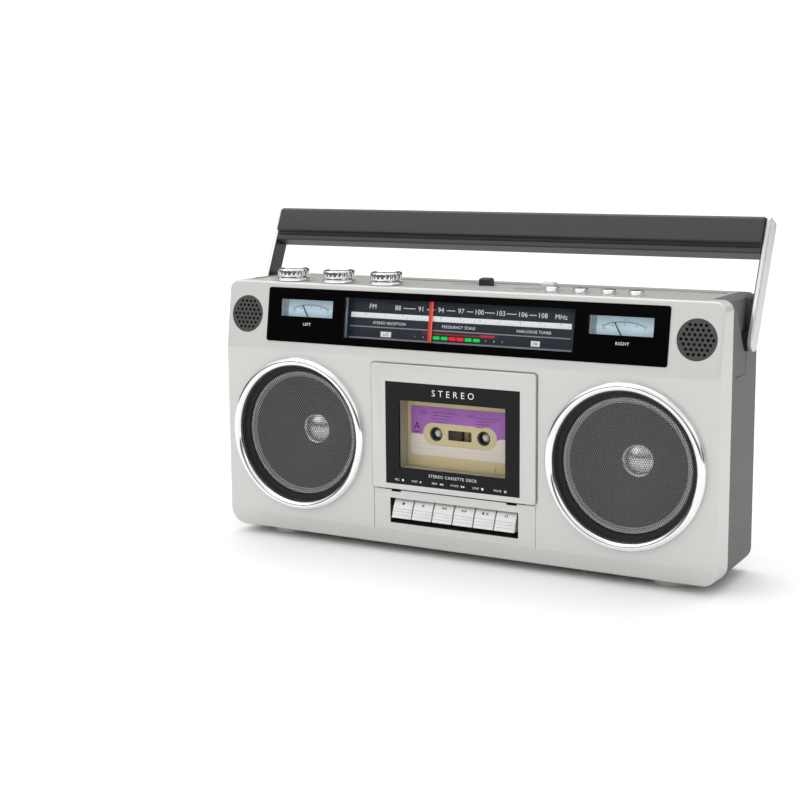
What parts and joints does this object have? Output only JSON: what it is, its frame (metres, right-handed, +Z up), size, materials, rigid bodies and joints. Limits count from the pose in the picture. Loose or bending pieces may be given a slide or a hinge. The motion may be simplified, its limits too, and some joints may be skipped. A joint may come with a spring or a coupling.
{
  "type": "portable radio cassette recorder",
  "caption": "Portable radio cassette recorder with round speakers behind chrome rings, a tilting cassette door, piano keys, a tuner dial and a swinging carrying handle.",
  "frame": {"origin": "on the table, under the middle of the bounding box", "axes": "+X to the right seen from the front, +Y from the speakers to the back, +Z up"},
  "size_m": [0.442, 0.1106, 0.2716],
  "materials": {
    "silver_case": "satin silver paint on moulded plastic",
    "dark_case": "fine-grained dark grey moulding",
    "light_panel": "light grey moulding",
    "chrome": "polished chrome plating",
    "grille_black": "black perforated sheet",
    "steel": "plain steel",
    "cone_paper": "black pressed paper",
    "window_black": "black-printed clear acrylic",
    "clear_window": "clear acrylic",
    "dial_navy": "printed dial",
    "pointer_red": "red acrylic",
    "needle_black": "painted pointer",
    "meter_white": "lit meter face",
    "tray_beige": "beige moulding",
    "cassette_beige": "beige cassette moulding",
    "label_paper": "printed label",
    "reel_white": "white hub with brown tape",
    "roller_rubber": "rubber",
    "foot_grey": "light grey rubber",
    "key_silver": "satin silver keys",
    "board_green": "circuit board",
    "black_plastic": "black moulding",
    "grip_black": "fine-textured black grip",
    "cell_jacket": "printed jacket",
    "zinc": "plated can"
  },
  "bodies": {
    "case": {"front_shell": "silver_case", "rear_shell": "dark_case", "top_panel": "light_panel", "rubber_feet": "foot_grey", "case_screws": "steel", "speaker_rings": "chrome", "speaker_grilles": "grille_black", "speaker_drivers": "steel", "tweeter_grilles": "grille_black", "tuner_window": "window_black", "dial_plate": "dial_navy", "meter_cases": "meter_white", "deck_chassis": "steel", "deck_motor": "zinc", "drive_belt": "roller_rubber", "key_axle": "steel", "switch_bodies": "black_plastic", "battery_cells": "cell_jacket", "power_unit": "steel", "rear_sockets": "black_plastic", "main_board": "board_green"},
    "handle": {"handle_grip": "grip_black", "handle_arm_left": "silver_case", "handle_arm_right": "silver_case"},
    "door": {"door_frame": "silver_case", "door_window": "clear_window", "cassette_holder": "tray_beige", "cassette_shell": "cassette_beige", "cassette_label": "label_paper"},
    "supply_reel": {"supply_reel": "reel_white"},
    "take_up_reel": {"take_up_reel": "reel_white"},
    "supply_spindle": {"supply_spindle": "black_plastic"},
    "take_up_spindle": {"take_up_spindle": "black_plastic"},
    "capstan_flywheel": {"capstan_flywheel": "steel"},
    "motor_pulley": {"motor_pulley": "steel"},
    "head_bridge": {"head_bridge": "steel"},
    "pinch_roller": {"pinch_roller": "roller_rubber"},
    "dial_pointer": {"dial_pointer": "pointer_red"},
    "meter_needle_left": {"meter_needle_left": "needle_black"},
    "meter_needle_right": {"meter_needle_right": "needle_black"},
    "woofer_cone_left": {"woofer_cone_left": "cone_paper"},
    "woofer_cone_right": {"woofer_cone_right": "cone_paper"},
    "battery_hatch": {"battery_hatch": "dark_case"},
    "aerial_tube": {"aerial_tube": "chrome"},
    "aerial_rod": {"aerial_rod": "chrome"},
    "band_switch": {"band_switch": "black_plastic"},
    "function_switch": {"function_switch": "light_panel"},
    "record_key": {"record_key": "key_silver"},
    "play_key": {"play_key": "key_silver"},
    "rewind_key": {"rewind_key": "key_silver"},
    "forward_key": {"forward_key": "key_silver"},
    "stop_key": {"stop_key": "key_silver"},
    "pause_key": {"pause_key": "key_silver"},
    "volume_knob": {"volume_knob": "chrome"},
    "tone_knob": {"tone_knob": "chrome"},
    "tuning_knob": {"tuning_knob": "chrome"},
    "loudness_button": {"loudness_button": "chrome"},
    "stereo_button": {"stereo_button": "chrome"},
    "mute_button": {"mute_button": "chrome"},
    "light_button": {"light_button": "chrome"}
  },
  "joints": [
    {"name": "handle_swing", "type": "hinge", "parent": "case", "child": "handle", "pos_m": [0, 0.01007, 0.182], "axis": [1, 0, 0], "range_deg": [-66, 34]},
    {"name": "door_tilt", "type": "hinge", "parent": "case", "child": "door", "pos_m": [0, -0.03393, 0.05], "axis": [1, 0, 0], "range_deg": [0, 25]},
    {"name": "capstan_spin", "type": "hinge", "parent": "case", "child": "capstan_flywheel", "pos_m": [0.023, -0.01993, 0.0694], "axis": [0, -1, 0], "continuous": true},
    {"name": "motor_spin", "type": "hinge", "parent": "case", "child": "motor_pulley", "pos_m": [-0.038, -0.01993, 0.0694], "axis": [0, -1, 0], "continuous": true},
    {"name": "supply_spindle_spin", "type": "hinge", "parent": "case", "child": "supply_spindle", "pos_m": [-0.02125, -0.02993, 0.0992], "axis": [0, -1, 0], "continuous": true},
    {"name": "take_up_spindle_spin", "type": "hinge", "parent": "case", "child": "take_up_spindle", "pos_m": [0.02125, -0.02993, 0.0992], "axis": [0, -1, 0], "continuous": true},
    {"name": "supply_reel_spin", "type": "hinge", "parent": "door", "child": "supply_reel", "pos_m": [-0.02125, -0.03393, 0.0992], "axis": [0, -1, 0], "continuous": true},
    {"name": "take_up_reel_spin", "type": "hinge", "parent": "door", "child": "take_up_reel", "pos_m": [0.02125, -0.03393, 0.0992], "axis": [0, -1, 0], "continuous": true},
    {"name": "pinch_roller_spin", "type": "hinge", "parent": "head_bridge", "child": "pinch_roller", "pos_m": [0.023, -0.03393, 0.0566], "axis": [0, -1, 0], "continuous": true},
    {"name": "record_key_press", "type": "hinge", "parent": "case", "child": "record_key", "pos_m": [-0.046, -0.02993, 0.033], "axis": [1, 0, 0], "range_deg": [0, 10], "stiffness_Nm_per_rad": 0.08, "springref_deg": -5.73},
    {"name": "play_key_press", "type": "hinge", "parent": "case", "child": "play_key", "pos_m": [-0.0276, -0.02993, 0.033], "axis": [1, 0, 0], "range_deg": [0, 10], "stiffness_Nm_per_rad": 0.08, "springref_deg": -5.73},
    {"name": "rewind_key_press", "type": "hinge", "parent": "case", "child": "rewind_key", "pos_m": [-0.0092, -0.02993, 0.033], "axis": [1, 0, 0], "range_deg": [0, 10], "stiffness_Nm_per_rad": 0.08, "springref_deg": -5.73},
    {"name": "forward_key_press", "type": "hinge", "parent": "case", "child": "forward_key", "pos_m": [0.0092, -0.02993, 0.033], "axis": [1, 0, 0], "range_deg": [0, 10], "stiffness_Nm_per_rad": 0.08, "springref_deg": -5.73},
    {"name": "stop_key_press", "type": "hinge", "parent": "case", "child": "stop_key", "pos_m": [0.0276, -0.02993, 0.033], "axis": [1, 0, 0], "range_deg": [0, 10], "stiffness_Nm_per_rad": 0.08, "springref_deg": -5.73},
    {"name": "pause_key_press", "type": "hinge", "parent": "case", "child": "pause_key", "pos_m": [0.046, -0.02993, 0.033], "axis": [1, 0, 0], "range_deg": [0, 10], "stiffness_Nm_per_rad": 0.08, "springref_deg": -5.73},
    {"name": "head_bridge_lift", "type": "slide", "parent": "case", "child": "head_bridge", "axis": [0, 0, 1], "range_m": [0, 0.005]},
    {"name": "volume_knob_turn", "type": "hinge", "parent": "case", "child": "volume_knob", "pos_m": [-0.162, -0.02643, 0.2153], "axis": [0, 0, -1], "range_deg": [-140, 140]},
    {"name": "tone_knob_turn", "type": "hinge", "parent": "case", "child": "tone_knob", "pos_m": [-0.1175, -0.02643, 0.2153], "axis": [0, 0, -1], "range_deg": [-140, 140]},
    {"name": "tuning_knob_turn", "type": "hinge", "parent": "case", "child": "tuning_knob", "pos_m": [-0.0725, -0.02643, 0.2153], "axis": [0, 0, -1], "range_deg": [-96.8, 332.3]},
    {"name": "pointer_slide", "type": "slide", "parent": "case", "child": "dial_pointer", "axis": [1, 0, 0], "range_m": [-0.0305, 0.1045]},
    {"name": "loudness_button_press", "type": "slide", "parent": "case", "child": "loudness_button", "axis": [0, 0, -1], "range_m": [0, 0.0015], "stiffness_N_per_m": 150, "springref_m": -0.001},
    {"name": "stereo_button_press", "type": "slide", "parent": "case", "child": "stereo_button", "axis": [0, 0, -1], "range_m": [0, 0.0015], "stiffness_N_per_m": 150, "springref_m": -0.001},
    {"name": "mute_button_press", "type": "slide", "parent": "case", "child": "mute_button", "axis": [0, 0, -1], "range_m": [0, 0.0015], "stiffness_N_per_m": 150, "springref_m": -0.001},
    {"name": "light_button_press", "type": "slide", "parent": "case", "child": "light_button", "axis": [0, 0, -1], "range_m": [0, 0.0015], "stiffness_N_per_m": 150, "springref_m": -0.001},
    {"name": "band_switch_slide", "type": "slide", "parent": "case", "child": "band_switch", "axis": [1, 0, 0], "range_m": [-0.02, 0]},
    {"name": "function_switch_slide", "type": "slide", "parent": "case", "child": "function_switch", "axis": [1, 0, 0], "range_m": [-0.02, 0]},
    {"name": "needle_left_swing", "type": "hinge", "parent": "case", "child": "meter_needle_left", "pos_m": [-0.1378, -0.04092, 0.18382], "axis": [0, -0.9883, 0.1525], "range_deg": [-75, 15], "stiffness_Nm_per_rad": 0.00003},
    {"name": "cone_left_move", "type": "slide", "parent": "case", "child": "woofer_cone_left", "axis": [0, -1, 0], "range_m": [-0.001, 0.001], "stiffness_N_per_m": 1000},
    {"name": "needle_right_swing", "type": "hinge", "parent": "case", "child": "meter_needle_right", "pos_m": [0.1378, -0.04092, 0.18382], "axis": [0, -0.9883, 0.1525], "range_deg": [-75, 15], "stiffness_Nm_per_rad": 0.00003},
    {"name": "cone_right_move", "type": "slide", "parent": "case", "child": "woofer_cone_right", "axis": [0, -1, 0], "range_m": [-0.001, 0.001], "stiffness_N_per_m": 1000},
    {"name": "hatch_tilt", "type": "hinge", "parent": "case", "child": "battery_hatch", "pos_m": [0, 0.03807, 0.0137], "axis": [-1, 0, 0], "range_deg": [0, 80]},
    {"name": "aerial_tilt", "type": "hinge", "parent": "case", "child": "aerial_tube", "pos_m": [0.188, 0.02007, 0.2111], "axis": [0, 1, 0], "range_deg": [0, 90]},
    {"name": "aerial_draw", "type": "slide", "parent": "aerial_tube", "child": "aerial_rod", "axis": [-1, 0, 0], "range_m": [0, 0.125]}
  ],
  "couplings": [
    {"joint": "motor_spin", "follows": "capstan_spin", "ratio": 4.8},
    {"joint": "pinch_roller_spin", "follows": "capstan_spin", "ratio": -0.16667},
    {"joint": "supply_spindle_spin", "follows": "capstan_spin", "ratio": 0.04545},
    {"joint": "take_up_spindle_spin", "follows": "capstan_spin", "ratio": 0.06897},
    {"joint": "supply_reel_spin", "follows": "capstan_spin", "ratio": 0.04545},
    {"joint": "take_up_reel_spin", "follows": "capstan_spin", "ratio": 0.06897},
    {"joint": "play_key_press", "follows": "head_bridge_lift", "rad_per_m": 34.872},
    {"joint": "pointer_slide", "follows": "tuning_knob_turn", "m_per_rad": 0.018}
  ]
}
